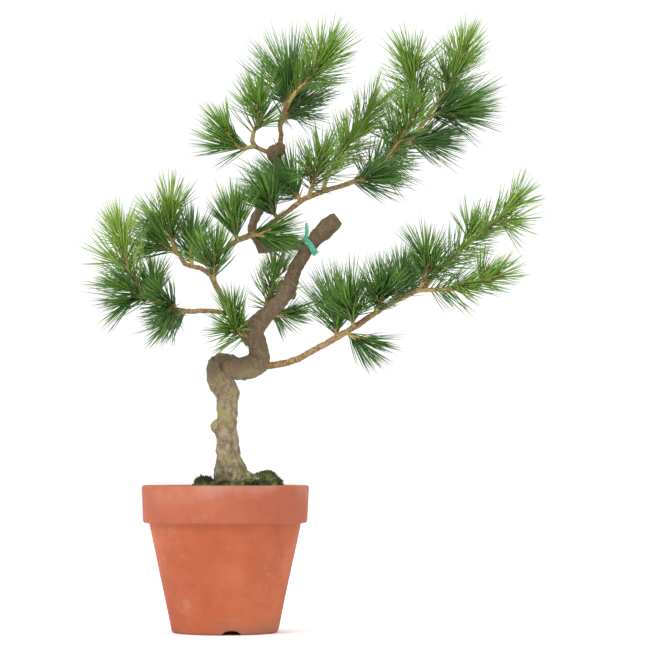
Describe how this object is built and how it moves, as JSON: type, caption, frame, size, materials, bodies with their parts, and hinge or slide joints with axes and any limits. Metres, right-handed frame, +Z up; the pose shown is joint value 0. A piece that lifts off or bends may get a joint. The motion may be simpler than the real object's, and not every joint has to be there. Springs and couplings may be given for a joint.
{
  "type": "potted pine",
  "caption": "Young black pine with a curled trunk, open boughs and long needles, in a round terracotta pot with a broad rim.",
  "frame": {"origin": "centre of the pot's flat underside, on the surface it stands on", "axes": "+Z up; +X to the right in the picture, the way the long boughs reach; +Y to the back"},
  "size_m": [0.4438, 0.2065, 0.6013],
  "materials": {
    "clay": "unglazed, matte",
    "earth": "loose, matte",
    "moss": "tufted, matte",
    "bark": "rough bark",
    "young_bark": "scaly young bark",
    "needles": "satin leaves",
    "tie_plastic": "thin soft plastic"
  },
  "bodies": {
    "root": {"arm_back_fan": "needles", "arm_out_shoot": "needles", "arm_up_shoot": "needles", "bough_back_shoot": "needles", "bough_fan": "needles", "bough_front_fan": "needles", "bough_front_shoot": "needles", "bough_long_shoot": "needles", "bough_low_shoot": "needles", "bough_mid_fan": "needles", "bough_side_shoot": "needles", "bough_tip_fan": "needles", "bough_tip_shoot": "needles", "bough_under_fan": "needles", "crown_back": "needles", "crown_left_out": "needles", "crown_left_twig": "young_bark", "crown_left_up": "needles", "crown_right": "needles", "crown_top": "needles", "crown_twig": "young_bark", "fork_bough": "young_bark", "fork_bud_fan": "needles", "leader_fan": "needles", "leader_high": "bark", "leader_low": "bark", "left_arm": "young_bark", "low_left_bough": "young_bark", "low_left_bud": "needles", "low_left_fan": "needles", "low_left_hang": "needles", "low_left_out": "needles", "low_left_up": "needles", "moss": "moss", "node_fan": "needles", "pot": "clay", "right_back_brush": "needles", "right_bough": "young_bark", "right_brush": "needles", "right_cluster": "needles", "right_hang": "needles", "right_lower_shoot": "needles", "right_tall_fan": "needles", "right_upper_shoot": "needles", "right_whorl_fan": "needles", "soil": "earth", "tie": "tie_plastic", "trunk": "bark", "trunk_back_fan": "needles", "trunk_bud_fan": "needles", "trunk_right_fan": "needles", "upper_bough": "young_bark", "upper_bough_end": "young_bark"}
  },
  "joints": []
}
